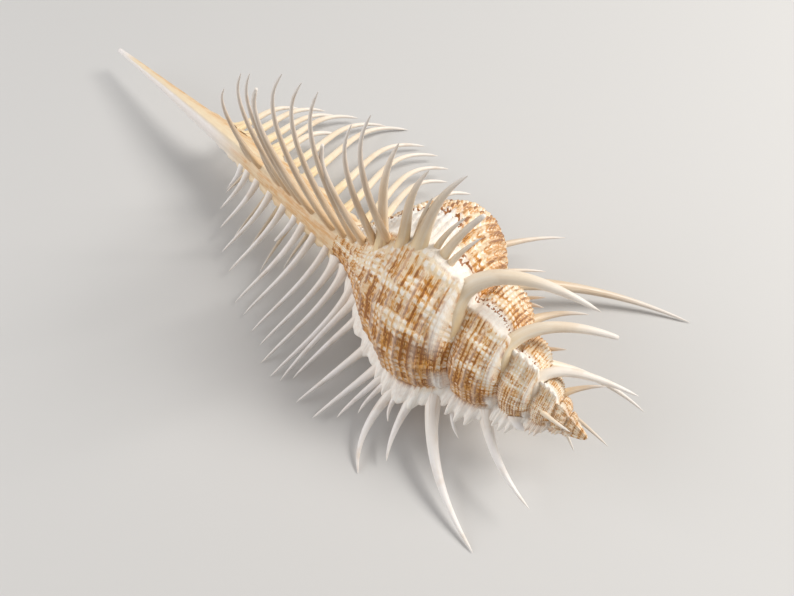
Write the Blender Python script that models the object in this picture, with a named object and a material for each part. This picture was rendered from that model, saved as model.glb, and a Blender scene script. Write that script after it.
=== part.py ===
"""Venus comb murex shell, one solid grown in one piece.

The shell lies with its mouth down. The long canal points to -X and the spire to +X.
Three varices stand about a third of a turn apart and carry the combs of spines.
Lengths in the tables are millimetres along the shell axis, measured from the canal tip.
"""
import math

import bmesh
import bpy
from mathutils import Matrix, Vector

MM = 0.001
SHELL_LENGTH = 125.0
AXIS_PITCH = math.radians(3.9)
CANAL_TIP_HEIGHT = 5.7
WEAR_HEIGHT = 0.45
WHORL_GROWTH = 1.58
SHOULDER_DROP = 28.6
SUTURE_DROP = 23.6
SUTURE_RADIUS = 8.1
SWELL = 0.19
CANAL_JOIN = 78.0
CANAL_RADIUS = 3.2
CANAL_BOW = 1.0
SPIRE_TURNS = 4
LIP_BEARING = -16.0
VARIX_BACK = (0.0, 108.0, 226.0)
CANAL_TWIST = 24.0
RIDGE_HEIGHT = 1.6
RIDGE_SHARES = (1.0, 0.8, 1.7)
SLIT_WIDTH = 0.9

# Where the columns of points stand between two varices, as shares of the gap
GAP_SHARES = (0.0, 0.05, 0.11, 0.24, 0.40, 0.57, 0.73, 0.86, 0.94)
# Stations of the rows along the canal
CANAL_ROWS = (72.0, 65.0, 58.0, 50.0, 42.0, 35.0, 27.0, 18.0, 9.0, 0.0)

# Combs: plane, lean and its rise, curl and its rise, swing and its rise, depth of the root, foot radius
COMB_A = (208.0, 6.0, 0.0, 16.0, 0.0, 1.0, 1.0, 0.8, 0.62)
COMB_B = (119.0, 1.0, 17.0, 67.0, -24.0, 8.5, 16.0, 0.8, 0.62)
COMB_C = (-15.5, 16.0, 6.5, 50.0, -22.0, -1.5, 3.0, 2.1, 0.66)
# Comb spines: station and length, for the middle comb also the station of the foot on the varix;
# the short ones are broken
SPINES_A = ((50.5, 4.5), (52.5, 8.0), (55.5, 10.5), (59.5, 13.5), (63.5, 15.0), (66.8, 5.7),
            (69.0, 18.0), (72.0, 18.5), (75.5, 19.5), (78.5, 20.0), (81.0, 22.0), (84.0, 22.3))
SPINES_B = ((55.0, 9.0, 53.5), (59.5, 23.0, 56.0), (64.5, 15.0, 62.0), (69.7, 31.5, 65.0),
            (72.7, 33.0, 68.0), (72.4, 30.3, 71.0), (82.6, 38.0, 76.0), (86.6, 38.8, 78.8),
            (89.8, 39.3, 81.5), (85.3, 28.4, 84.2), (94.4, 37.4, 86.6), (98.9, 41.3, 89.0))
SPINES_C = ((41.5, 17.5), (45.0, 21.7), (48.5, 22.8), (53.2, 17.5), (51.5, 26.3), (57.5, 29.5),
            (61.6, 32.8), (68.2, 31.2), (72.4, 31.0), (76.8, 29.3), (79.3, 25.5), (84.9, 26.6),
            (88.4, 25.0))
# Spines of the body and the spire: growth angle and station of the foot, tip as it lies on the table,
# bow outward, bow towards the canal, foot radius
THORNS = (
    (-226, 86.0, (85.1, -21.4, 0.3), 1.5, 0.5, 0.75),
    (-226, 88.5, (86.4, -19.7, 0.8), 1.5, 0.5, 0.70),
    (-226, 93.0, (89.8, -21.8, 0.4), 1.8, 0.5, 0.80),
    (-226, 96.5, (93.5, -21.6, 0.4), 1.8, 0.5, 0.80),
    (-226, 98.0, (96.9, -19.2, 3.0), 1.5, 0.5, 0.70),
    (-226, 99.0, (98.9, -16.7, 4.0), 1.0, 0.5, 0.60),
    (-226, 100.5, (104.6, -22.0, 0.3), 1.6, 1.6, 0.95),
    (-226, 101.2, (103.1, -14.6, 5.0), 0.8, 0.5, 0.60),
    (-226, 103.2, (106.5, -18.1, 2.0), 0.9, 0.5, 0.85),
    (-226, 105.4, (123.4, -17.7, 0.3), 1.6, 1.8, 1.15),
    (-226, 105.2, (108.3, -10.0, 6.0), 0.6, 0.3, 0.60),
    (-586, 107.8, (112.0, -9.3, 6.0), 0.8, 0.4, 0.60),
    (-586, 112.4, (125.1, -9.0, 4.5), 1.0, 1.0, 0.90),
    (-946, 116.4, (118.6, -3.4, 11.5), 0.5, 0.2, 0.90),
    (-108, 89.0, (95.3, -5.3, 47.0), 0.5, 1.6, 0.95),
    (-106, 92.5, (96.5, -2.1, 42.0), 0.5, 1.3, 0.95),
    (-106, 95.2, (98.0, 2.6, 39.0), 0.8, 1.2, 1.20),
    (-104, 93.8, (94.6, 0.9, 34.0), 0.3, 0.4, 0.55),
    (-102, 96.6, (98.4, 2.9, 32.0), 0.2, 0.3, 0.55),
    (-103, 98.0, (100.2, 4.1, 33.0), 0.3, 0.3, 0.75),
    (-104, 99.2, (100.9, 3.3, 30.0), 0.2, 0.2, 0.60),
    (-108, 102.8, (116.5, 8.2, 26.0), 3.1, 2.8, 1.20),
    (-468, 110.9, (119.5, 10.2, 21.0), 1.5, 2.2, 0.95),
    (-828, 116.1, (125.8, 7.8, 17.0), 1.2, 2.6, 0.75),
    (-720, 113.5, (127.5, 10.7, 10.0), 1.8, 0.8, 0.75),
    (-360, 107.0, (113.0, 17.0, 11.0), 1.2, 0.6, 0.90),
    (0, 96.6, (123.6, 35.5, 0.3), 3.2, 2.8, 1.40),
    (0, 91.0, (99.8, 29.9, 6.0), 2.8, 1.2, 1.15),
    (0, 95.0, (102.1, 21.9, 6.0), 1.2, 0.8, 0.75),
    (-1080, 118.4, (122.1, 7.1, 15.0), 0.6, 0.2, 0.55),
    (-1060, 118.0, (127.0, 4.1, 8.0), 0.5, 0.2, 0.45),
    (-1180, 117.6, (124.2, 1.1, 6.0), 0.5, 0.2, 0.45),
    (-1240, 117.2, (122.7, -1.7, 15.8), 0.4, 0.2, 0.45),
    (-372, 103.5, (108.0, 11.4, 16.0), 0.2, 0.2, 0.50),
    (-380, 105.0, (108.6, 10.5, 15.0), 0.2, 0.2, 0.50),
    (-732, 112.0, (115.1, 7.6, 15.0), 0.2, 0.1, 0.45),
    (-246, 51.5, (46.6, -5.2, 1.0), 0.6, 0.4, 0.42),
    (-246, 58.5, (56.9, -10.6, 1.0), 0.8, 0.5, 0.42),
    (-246, 62.0, (61.5, -11.0, 1.0), 0.8, 0.5, 0.42),
    (-246, 66.5, (66.2, -11.4, 1.0), 0.8, 0.5, 0.42),
    (-246, 70.5, (68.4, -7.8, 1.0), 0.8, 0.4, 0.42),
)


def clear_scene():
    for old in list(bpy.data.objects):
        bpy.data.objects.remove(old, do_unlink=True)


def growth(theta):
    """Size of the shell at a growth angle in degrees; the lip is at 0."""
    return WHORL_GROWTH ** (theta / 360.0)


def canal_radius(station):
    """Radius of the slender canal tube at a station."""
    table = ((0.0, 0.45), (9.0, 0.75), (20.0, 1.05), (34.0, 1.7),
             (50.0, 2.3), (65.0, 2.8), (78.0, CANAL_RADIUS))
    for (s0, r0), (s1, r1) in zip(table, table[1:]):
        if station <= s1:
            return r0 + (r1 - r0) * (station - s0) / (s1 - s0)
    return CANAL_RADIUS


def swelling(theta):
    """The wall bulges more on the side of the lip, in every turn."""
    back = (-theta - 45.0 + 180.0) % 360.0 - 180.0
    return 1.0 + SWELL * math.exp(-(back / 52.0) ** 2)


def whorl_rows(theta):
    """Station and radius of the upper whorl wall, from its suture to the next suture."""
    g = growth(theta)
    rows = []
    profile = ((SUTURE_DROP, SUTURE_RADIUS), (25.6, 10.6), (SHOULDER_DROP, 12.8), (31.6, 13.9), (34.8, 13.9),
               (SUTURE_DROP * WHORL_GROWTH, SUTURE_RADIUS * WHORL_GROWTH))
    for drop, radius in profile:
        rows.append((SHELL_LENGTH - drop * g, radius * g * swelling(theta)))
    return rows


def last_turn_rows(theta):
    """Rows of the last turn: whorl wall, base, then the canal down to its tip."""
    rows = whorl_rows(theta)
    s5, r5 = rows[-1]
    for share in (0.2, 0.4, 0.6, 0.8, 1.0):
        fall = (1.0 + math.cos(math.pi * share ** 0.85)) / 2.0
        rows.append((s5 + (CANAL_JOIN - s5) * share, CANAL_RADIUS + (r5 - CANAL_RADIUS) * fall))
    for station in CANAL_ROWS:
        rows.append((station, canal_radius(station)))
    return rows


def ridge(theta):
    """Height share of the varices at a growth angle: slow rise behind, steep drop in front."""
    back = -theta % 360.0
    best = 0.0
    for varix, height in zip(VARIX_BACK + (360.0,), RIDGE_SHARES + RIDGE_SHARES[:1]):
        behind = back - varix
        if 0.0 <= behind < 26.0:
            best = max(best, height * (1.0 - behind / 26.0) ** 2)
        elif -11.0 < behind < 0.0:
            best = max(best, height * (1.0 + behind / 11.0) ** 2)
    return best


def bearing(theta, station=SHELL_LENGTH):
    """Bearing of a growth angle; on the canal the middle varix sits further back."""
    back = -theta % 360.0
    share = min(1.0, max(0.0, (90.0 - station) / 16.0))
    first, second = VARIX_BACK[1:]
    if back < first:
        turn = CANAL_TWIST * back / first
    elif back < second:
        turn = CANAL_TWIST * (second - back) / (second - first)
    else:
        turn = 0.0
    return math.radians(LIP_BEARING - theta + turn * share)


def bow(station):
    """The canal is bowed a little away from the table."""
    if station >= CANAL_JOIN:
        return 0.0
    return CANAL_BOW * math.sin(math.pi * station / CANAL_JOIN)


def on_axis(station, radius, angle):
    """Point in the shell's own frame: x along the axis, angle from +Y towards +Z."""
    return Vector((station, radius * math.cos(angle), radius * math.sin(angle) + bow(station)))


def growth_angles():
    """Growth angles of the columns of one turn, from -360 up to but without 0."""
    stops = [-360.0] + sorted(-v for v in VARIX_BACK)
    angles = []
    for start, end in zip(stops, stops[1:]):
        for share in GAP_SHARES:
            angles.append(start + (end - start) * share)
    return angles


def wall_point(theta, station, radius, row):
    """Point of the outer wall with the varix ridge added."""
    g = growth(theta)
    lift = ridge(theta) * RIDGE_HEIGHT * math.sqrt(g)
    if row == 0:
        lift *= 0.1
    if row > 9:
        lift = ridge(theta) * 0.8 * min(1.0, max(0.0, (station - 20.0) / 20.0))
    return on_axis(station, radius + lift, bearing(theta, station))


def bridge(mesh, left, right):
    """Triangles between two rows of points that run the same way."""
    i = 0
    j = 0
    while i < len(left) - 1 or j < len(right) - 1:
        a = (i + 1) / (len(left) - 1) if i < len(left) - 1 else 2.0
        b = (j + 1) / (len(right) - 1) if j < len(right) - 1 else 2.0
        if a <= b:
            corners = (left[i], left[i + 1], right[j])
            i += 1
        else:
            corners = (left[i], right[j + 1], right[j])
            j += 1
        if len(set(corners)) == 3:
            mesh.faces.new(corners)


def whorls(name):
    """The coiled wall with its varices, the open mouth under the lip and the slit of the canal."""
    mesh = bmesh.new()
    turn = growth_angles()
    upper = len(whorl_rows(0.0))
    columns = []
    for lap in range(SPIRE_TURNS, 0, -1):
        for angle in turn:
            theta = angle - 360.0 * lap
            columns.append([wall_point(theta, s, r, k) for k, (s, r) in enumerate(whorl_rows(theta))])
    spire_count = len(columns)
    for angle in turn:
        rows = last_turn_rows(angle)
        column = []
        for k, (s, r) in enumerate(rows):
            theta = angle
            if k > upper - 1 and angle < -320.0:
                theta = angle + (14.0 if s > CANAL_JOIN else 16.0) * (1.0 - (angle + 360.0) / 40.0)
            point = wall_point(theta, s, r, k)
            if upper - 1 < k < upper + 4 and angle < -290.0:
                hollow = 0.72 + 0.28 * (angle + 360.0) / 70.0
                point = Vector((point.x, point.y * hollow, point.z * hollow))
            column.append(point)
        columns.append(column)
    per = len(turn)
    grid = []
    for c, column in enumerate(columns):
        line = []
        for k, point in enumerate(column):
            line.append(mesh.verts.new(point))
        grid.append(line)
    # The upper edge of each turn is the lower edge of the turn before it
    for c in range(per, len(grid)):
        shared = grid[c - per][upper - 1]
        mesh.verts.remove(grid[c][0])
        grid[c][0] = shared
    for left, right in zip(grid, grid[1:]):
        count = min(len(left), len(right))
        for k in range(count - 1):
            mesh.faces.new((left[k], right[k], right[k + 1], left[k + 1]))
    # Lip: the crest, its inner edge, the hollow under it and the slit of the canal
    lip = [grid[-per][upper - 1]]
    inner = []
    deep = []
    floor = []
    for k, (s, r) in enumerate(last_turn_rows(0.0)):
        canal = k > upper + 3
        angle = bearing(0.0)
        ridge_top = RIDGE_HEIGHT if not canal else 0.8 * min(1.0, max(0.0, (s - 20.0) / 20.0))
        if k > 0:
            lip.append(mesh.verts.new(on_axis(s, r + ridge_top, angle)))
            if canal:
                slit = SLIT_WIDTH / r
                inner.append(mesh.verts.new(on_axis(s, r * 0.96, angle - slit * 0.12)))
                deep.append(mesh.verts.new(on_axis(s, r * 0.55, angle - slit * 0.3)))
                floor.append(mesh.verts.new(on_axis(s, r * 0.5, angle - slit * 0.7)))
            else:
                inner.append(mesh.verts.new(on_axis(s, r - 0.4, angle - 0.02)))
                deep.append(mesh.verts.new(on_axis(s, r * 0.84, angle + 0.5)))
                floor.append(mesh.verts.new(on_axis(s, r * 0.36 + 0.5, angle + 0.25)))
    columella = grid[-per][upper - 1:]
    root = columella[0]
    last = grid[-1]
    for k in range(len(last) - 1):
        mesh.faces.new((last[k], lip[k], lip[k + 1], last[k + 1]))
    steps = (lip, [root] + inner, [root] + deep, [root] + floor, columella)
    for left, right in zip(steps, steps[1:]):
        bridge(mesh, left, right)
    # Tip of the canal and top of the spire
    tip = mesh.verts.new(on_axis(0.0, 0.0, 0.0))
    ring = [line[-1] for line in grid[spire_count:]] + [lip[-1], inner[-1], deep[-1], floor[-1]]
    for a, b in zip(ring, ring[1:] + ring[:1]):
        mesh.faces.new((a, b, tip))
    apex = mesh.verts.new(Vector((SHELL_LENGTH, 0.0, 0.0)))
    start = [line[0] for line in grid[:per + 1]]
    for a, b in zip(start, start[1:] + start[:1]):
        mesh.faces.new((a, b, apex))
    mesh.faces.new(grid[0][:upper])
    bmesh.ops.recalc_face_normals(mesh, faces=mesh.faces[:])
    data = bpy.data.meshes.new(name)
    mesh.to_mesh(data)
    mesh.free()
    body = bpy.data.objects.new(name, data)
    bpy.context.collection.objects.link(body)
    return body


def resting(point):
    """From the shell's own frame to the table: canal tip above the origin, axis pitched up to the spire."""
    turned = Matrix.Rotation(-AXIS_PITCH, 3, "Y") @ point
    return turned + Vector((0.0, 0.0, CANAL_TIP_HEIGHT))


def wall_radius(station, angle):
    """Outer radius of the shell at a station and a bearing in degrees."""
    best = canal_radius(min(station, CANAL_JOIN))
    first = (LIP_BEARING - angle) % 360.0 - 360.0
    for lap in range(SPIRE_TURNS + 1):
        theta = first - 360.0 * lap
        rows = last_turn_rows(theta) if lap == 0 else whorl_rows(theta)
        for (s0, r0), (s1, r1) in zip(rows, rows[1:]):
            if s1 <= station <= s0:
                share = (s0 - station) / (s0 - s1)
                part = 1.0 if station > CANAL_JOIN else 0.6
                lift = ridge(theta) * RIDGE_HEIGHT * math.sqrt(growth(theta)) * part
                best = max(best, r0 + (r1 - r0) * share + lift)
    return best


def stand_on_varix(path, station):
    """Moves the foot of a spine onto the crest of the middle varix and leaves its tip in place."""
    angle = bearing(-VARIX_BACK[1], station)
    radius = wall_radius(station, math.degrees(angle)) - 0.8
    shift = on_axis(station, radius, angle) - path[0]
    moved = []
    for k, point in enumerate(path):
        u = k / (len(path) - 1)
        moved.append(point + shift * (1.0 - u) ** 1.2)
    return moved


def bend(path, reach, late):
    """Bows a path along the shell, most near its foot or late near its tip; both ends stay in place."""
    bent = []
    for k, point in enumerate(path):
        u = (k / (len(path) - 1)) ** late
        bent.append(point + Vector((reach * 4.0 * u * (1.0 - u), 0.0, 0.0)))
    return bent


def comb_path(comb, station, length):
    """Points of a comb spine in the shell's frame, from the axis outward."""
    plane, lean, lean_rise, curl, curl_rise, swing, swing_rise, root = comb[:8]
    along = station / SHELL_LENGTH - 0.3
    angle = math.radians(plane)
    out = Vector((0.0, math.cos(angle), math.sin(angle)))
    aside = Vector((0.0, math.sin(angle), -math.cos(angle)))
    point = Vector((station, 0.0, 0.0)) + out * 2.5
    steps = 24
    path = [point + out * (root - 2.5) + Vector((0.0, 0.0, bow(station)))]
    for k in range(steps):
        u = (k + 0.5) / steps
        tilt = math.radians(lean + lean_rise * along - (curl + curl_rise * along) * u ** 4.2)
        turn = math.radians(swing + swing_rise * u)
        step = out * math.cos(tilt) * math.cos(turn) + aside * math.sin(turn)
        step += Vector((-1.0, 0.0, 0.0)) * math.sin(tilt) * math.cos(turn)
        point = point + step * (length / steps)
        path.append(point + Vector((0.0, 0.0, bow(station) * (1.0 - u) ** 2)))
    return path


def thorn_path(theta, station, tip, bow_out, bow_ahead):
    """Bowed path from a foot on a varix to a tip given as it lies on the table."""
    angle = bearing(theta, station)
    out = Vector((0.0, math.cos(angle), math.sin(angle)))
    foot = Vector((station, 0.0, 0.0)) + out * (wall_radius(station, math.degrees(angle)) - 1.0)
    lifted = Vector(tip) - Vector((0.0, 0.0, CANAL_TIP_HEIGHT))
    end = Matrix.Rotation(AXIS_PITCH, 3, "Y") @ lifted
    middle = (foot + end) / 2.0 + out * bow_out * 2.0 + Vector((-1.0, 0.0, 0.0)) * bow_ahead * 2.0
    steps = 16
    path = []
    for k in range(steps + 1):
        u = k / steps
        path.append(foot * (1.0 - u) ** 2 + middle * 2.0 * u * (1.0 - u) + end * u * u)
    return path


def outside(path):
    """Part of a path that stands outside the wall, with one point kept inside."""
    keep = 0
    for k, point in enumerate(path):
        angle = math.degrees(math.atan2(point.z, point.y))
        if math.hypot(point.y, point.z) < wall_radius(point.x, angle) - 0.6:
            keep = k
    return path[keep:]


def resample(path, count):
    """Evenly spaced points along a path."""
    runs = [0.0]
    for a, b in zip(path, path[1:]):
        runs.append(runs[-1] + (b - a).length)
    points = []
    for k in range(count):
        want = runs[-1] * k / (count - 1)
        i = 0
        while i < len(runs) - 2 and runs[i + 1] < want:
            i += 1
        share = (want - runs[i]) / max(runs[i + 1] - runs[i], 1e-9)
        points.append(path[i].lerp(path[i + 1], min(1.0, share)))
    return points


def tube(mesh, path, foot, tip, rings, sides):
    """Tapered closed spine along a path, wider where it leaves the wall."""
    points = resample(path, rings)
    normal = Vector((0.3, 0.2, 0.9))
    loops = []
    for k, point in enumerate(points):
        ahead = points[min(k + 1, rings - 1)] - points[max(k - 1, 0)]
        ahead.normalize()
        normal = (normal - ahead * normal.dot(ahead)).normalized()
        other = ahead.cross(normal)
        u = k / (rings - 1)
        radius = tip + (foot - tip) * (1.0 - u) ** 0.75
        if k == 0:
            radius *= 1.15
        loop = []
        for j in range(sides):
            a = 2.0 * math.pi * j / sides
            loop.append(mesh.verts.new(point + normal * math.cos(a) * radius + other * math.sin(a) * radius))
        loops.append(loop)
    for low, high in zip(loops, loops[1:]):
        for j in range(sides):
            n = (j + 1) % sides
            mesh.faces.new((low[j], low[n], high[n], high[j]))
    mesh.faces.new(list(reversed(loops[0])))
    mesh.faces.new(loops[-1])


def spines(name):
    """All the spines as closed tapered bodies, feet inside the wall."""
    mesh = bmesh.new()
    for station, length in SPINES_A:
        path = outside(comb_path(COMB_A, station, length))
        tube(mesh, bend(path, 0.065 * length, 0.85), COMB_A[8], 0.14, 7, 5)
    for station, length, foot in SPINES_B:
        path = stand_on_varix(outside(comb_path(COMB_B, station, length)), foot)
        spread = 1.6 if length == 28.4 else min(1.0, abs(station - 84.5) / 10.0)
        tube(mesh, bend(path, 0.045 * length * spread, 1.1), COMB_B[8], 0.14, 8, 5)
    for station, length in SPINES_C:
        path = outside(comb_path(COMB_C, station, length))
        tube(mesh, bend(path, -0.055 * length, 1.6), COMB_C[8], 0.14, 7, 5)
    for theta, station, tip, bow_out, bow_ahead, foot in THORNS:
        path = thorn_path(theta, station, tip, bow_out, bow_ahead)
        tube(mesh, path, foot, 0.14, 7, 5)
    data = bpy.data.meshes.new(name)
    mesh.to_mesh(data)
    mesh.free()
    body = bpy.data.objects.new(name, data)
    bpy.context.collection.objects.link(body)
    return body


def grow_together(body, thorns):
    """Joins the spines to the wall as one closed body."""
    join = body.modifiers.new("join", "BOOLEAN")
    join.operation = "UNION"
    join.solver = "EXACT"
    join.use_self = True
    join.object = thorns
    thorns.hide_render = True
    thorns.display_type = "WIRE"
    depsgraph = bpy.context.evaluated_depsgraph_get()
    joined = bpy.data.meshes.new_from_object(body.evaluated_get(depsgraph))
    body.modifiers.clear()
    body.data = joined
    bpy.data.objects.remove(thorns, do_unlink=True)


def wear_flat(body):
    """The lowest spine tips are worn flat where the shell rests."""
    mesh = bmesh.new()
    mesh.from_mesh(body.data)
    bmesh.ops.remove_doubles(mesh, verts=mesh.verts[:], dist=0.00002)
    everything = mesh.verts[:] + mesh.edges[:] + mesh.faces[:]
    bmesh.ops.bisect_plane(mesh, geom=everything, plane_co=(0.0, 0.0, WEAR_HEIGHT * MM),
                           plane_no=(0.0, 0.0, 1.0), clear_inner=True)
    open_edges = [edge for edge in mesh.edges if len(edge.link_faces) == 1]
    bmesh.ops.holes_fill(mesh, edges=open_edges, sides=0)
    bmesh.ops.triangulate(mesh, faces=mesh.faces[:])
    bmesh.ops.recalc_face_normals(mesh, faces=mesh.faces[:])
    xs = [vert.co.x for vert in mesh.verts]
    ys = [vert.co.y for vert in mesh.verts]
    centre = Vector(((min(xs) + max(xs)) / 2.0, (min(ys) + max(ys)) / 2.0, WEAR_HEIGHT * MM))
    bmesh.ops.translate(mesh, verts=mesh.verts[:], vec=-centre)
    mesh.to_mesh(body.data)
    mesh.free()


def lime():
    """Matt cream-white shell lime with a warm tan cast."""
    material = bpy.data.materials.new("shell_lime")
    material.use_nodes = True
    surface = material.node_tree.nodes["Principled BSDF"]
    surface.inputs["Base Color"].default_value = (0.72, 0.53, 0.33, 1.0)
    surface.inputs["Roughness"].default_value = 0.45
    surface.inputs["Metallic"].default_value = 0.0
    return material


def main():
    clear_scene()
    body = whorls("shell")
    thorns = spines("spines")
    frame = Matrix.Translation((0.0, 0.0, CANAL_TIP_HEIGHT * MM)) @ Matrix.Rotation(-AXIS_PITCH, 4, "Y")
    for piece in (body, thorns):
        piece.data.transform(Matrix.Scale(MM, 4))
        piece.data.transform(frame)
    grow_together(body, thorns)
    wear_flat(body)
    body.data.materials.clear()
    body.data.materials.append(lime())
    for face in body.data.polygons:
        face.use_smooth = True


main()
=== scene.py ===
import math

import bpy
import numpy as np
from mathutils import Matrix, Vector


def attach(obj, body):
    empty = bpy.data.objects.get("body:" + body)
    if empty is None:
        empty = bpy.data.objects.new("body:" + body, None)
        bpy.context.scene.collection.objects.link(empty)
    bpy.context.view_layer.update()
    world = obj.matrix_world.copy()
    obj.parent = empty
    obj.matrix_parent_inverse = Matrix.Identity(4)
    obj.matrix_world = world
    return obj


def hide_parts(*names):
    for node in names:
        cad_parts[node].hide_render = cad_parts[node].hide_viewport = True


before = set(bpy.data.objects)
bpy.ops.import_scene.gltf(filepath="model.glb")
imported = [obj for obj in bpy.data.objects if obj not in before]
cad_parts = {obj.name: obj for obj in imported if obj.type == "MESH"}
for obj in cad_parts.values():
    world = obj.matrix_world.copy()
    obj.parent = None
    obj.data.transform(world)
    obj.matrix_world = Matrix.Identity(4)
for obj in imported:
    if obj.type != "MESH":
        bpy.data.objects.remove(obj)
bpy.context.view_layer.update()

# ---------------------------------------------------------------- spire
# The turns of the spire, wound by the growing snail. Each turn is 1.58 times the one before it.
# Lime wall with beaded spiral cords, white varices and orange-brown lines between the cords.

MM = 0.001
SHELL_LENGTH = 125.0
AXIS_PITCH = math.radians(3.9)
CANAL_TIP_HEIGHT = 5.7
FRAME_SHIFT = (63.74, 6.72, 0.45)
WHORL_GROWTH = 1.58
# Drop below the apex and radius of the wall, from one suture to the next, at the size of the lip
WALL_PROFILE = ((23.6, 8.1), (25.6, 10.6), (28.6, 12.8), (31.6, 13.9), (34.8, 13.9), (37.288, 12.798))
CANAL_JOIN = 78.0
CANAL_RADIUS = 3.2
# Growth angles back from the lip where a varix stands, and the height of its ridge
MIDDLE_VARIX = 108.0
LEFT_VARIX = 226.0
VARICES = ((0.0, 1.6), (MIDDLE_VARIX, 1.35), (LEFT_VARIX, 2.3), (360.0, 1.6))
# Bearing of the lip, and how far the middle varix is turned along the canal, in degrees
LIP_BEARING = -16.0
CANAL_TWIST = 24.0
# Rows on the wall where a main cord runs into a spine of each varix
MAIN_CORDS = (1.8, 2.8, 3.85, 5.0, 6.15, 7.1, 8.3)


def smooth(x, low, high):
    """0 up to the low value, 1 from the high value on."""
    t = np.clip((x - low) / (high - low), 0.0, 1.0)
    return t * t * (3.0 - 2.0 * t)


def band(x, rise_from, rise_to, fall_from, fall_to):
    """1 between its rise and its fall, 0 before and after."""
    return smooth(x, rise_from, rise_to) * (1.0 - smooth(x, fall_from, fall_to))


def hump(x, at, wide):
    return np.exp(-((x - at) / wide) ** 2)


def spline(a, b, c, d, u):
    """Places on a smooth curve through four points, between the second and the third."""
    return 0.5 * (2.0 * b + (c - a) * u + (2.0 * a - 5.0 * b + 4.0 * c - d) * u ** 2
                  + (3.0 * b - a - 3.0 * c + d) * u ** 3)


def growth(theta):
    """Size of the shell at a growth angle, 1 at the lip."""
    return WHORL_GROWTH ** (theta / 360.0)


def turned_back(theta):
    """Degrees back from the lip, or from the same bearing on an earlier turn."""
    return np.where(theta == 0.0, 0.0, (-theta) % 360.0)


def swelling(theta):
    """The bulge of each turn behind its lip."""
    back = (-theta - 45.0 + 180.0) % 360.0 - 180.0
    return 1.0 + 0.19 * np.exp(-(back / 52.0) ** 2)


def wall_rows(theta):
    """Control rows of the wall at each growth angle: 0 to 5 whorl, 6 to 10 base, 11 canal."""
    g = growth(theta)[:, None]
    drop = np.array([row[0] for row in WALL_PROFILE])
    wide = np.array([row[1] for row in WALL_PROFILE])
    station = SHELL_LENGTH - drop * g
    radius = wide * g * swelling(theta)[:, None]
    share = np.array((0.2, 0.4, 0.6, 0.8, 1.0))
    fall = (1.0 + np.cos(np.pi * share ** 0.85)) / 2.0
    low_s = station[:, 5:] + (CANAL_JOIN - station[:, 5:]) * share
    low_r = CANAL_RADIUS + (radius[:, 5:] - CANAL_RADIUS) * fall
    last = np.ones_like(g)
    station = np.concatenate((station, low_s, last * 72.0), axis=1)
    radius = np.concatenate((radius, low_r, last * 3.0), axis=1)
    return np.stack((station, radius), axis=-1)


def wall_profile(theta, row):
    """Station and radius on the smooth wall; theta has one value for each column."""
    rows = wall_rows(theta)
    k = np.clip(np.floor(row).astype(int), 0, 10)
    u = (row - k)[None, :, None]
    a = rows[:, np.clip(k - 1, 0, 11)]
    b = rows[:, k]
    c = rows[:, k + 1]
    d = rows[:, np.clip(k + 2, 0, 11)]
    a = np.where((k == 0)[None, :, None], 2.0 * b - c, a)
    point = spline(a, b, c, d, u)
    return point[..., 0], point[..., 1]


def bearing(theta, station):
    """Angle about the axis of a growth angle, at a station."""
    back = turned_back(theta)
    share = np.clip((90.0 - station) / 16.0, 0.0, 1.0)
    turn = np.minimum(back / MIDDLE_VARIX, (LEFT_VARIX - back) / (LEFT_VARIX - MIDDLE_VARIX))
    return np.radians(LIP_BEARING - theta + CANAL_TWIST * np.maximum(turn, 0.0) * share)


def lay_down(point):
    """From the shell's own frame, x along the axis, to the table in metres; no tip goes below it."""
    x, y, z = point[..., 0], point[..., 1], point[..., 2]
    c, s = math.cos(AXIS_PITCH), math.sin(AXIS_PITCH)
    table = np.stack((c * x - s * z, y, s * x + c * z + CANAL_TIP_HEIGHT), axis=-1)
    table = (table - np.array(FRAME_SHIFT)) * MM
    table[..., 2] = np.maximum(table[..., 2], 0.0)
    return table


def around(station, radius, angle):
    bow = np.where(station < CANAL_JOIN, np.sin(np.pi * np.clip(station, 0.0, CANAL_JOIN) / CANAL_JOIN), 0.0)
    return np.stack((station, radius * np.cos(angle), radius * np.sin(angle) + bow), axis=-1)


def varix_rise(behind, front, power):
    """Share of a varix's height: a slow rise behind its crest, a steep drop in front."""
    return np.where(behind >= 0.0, np.clip(1.0 - behind / 26.0, 0.0, 1.0) ** 2,
                    np.clip(1.0 + behind / front, 0.0, 1.0) ** power)


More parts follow.
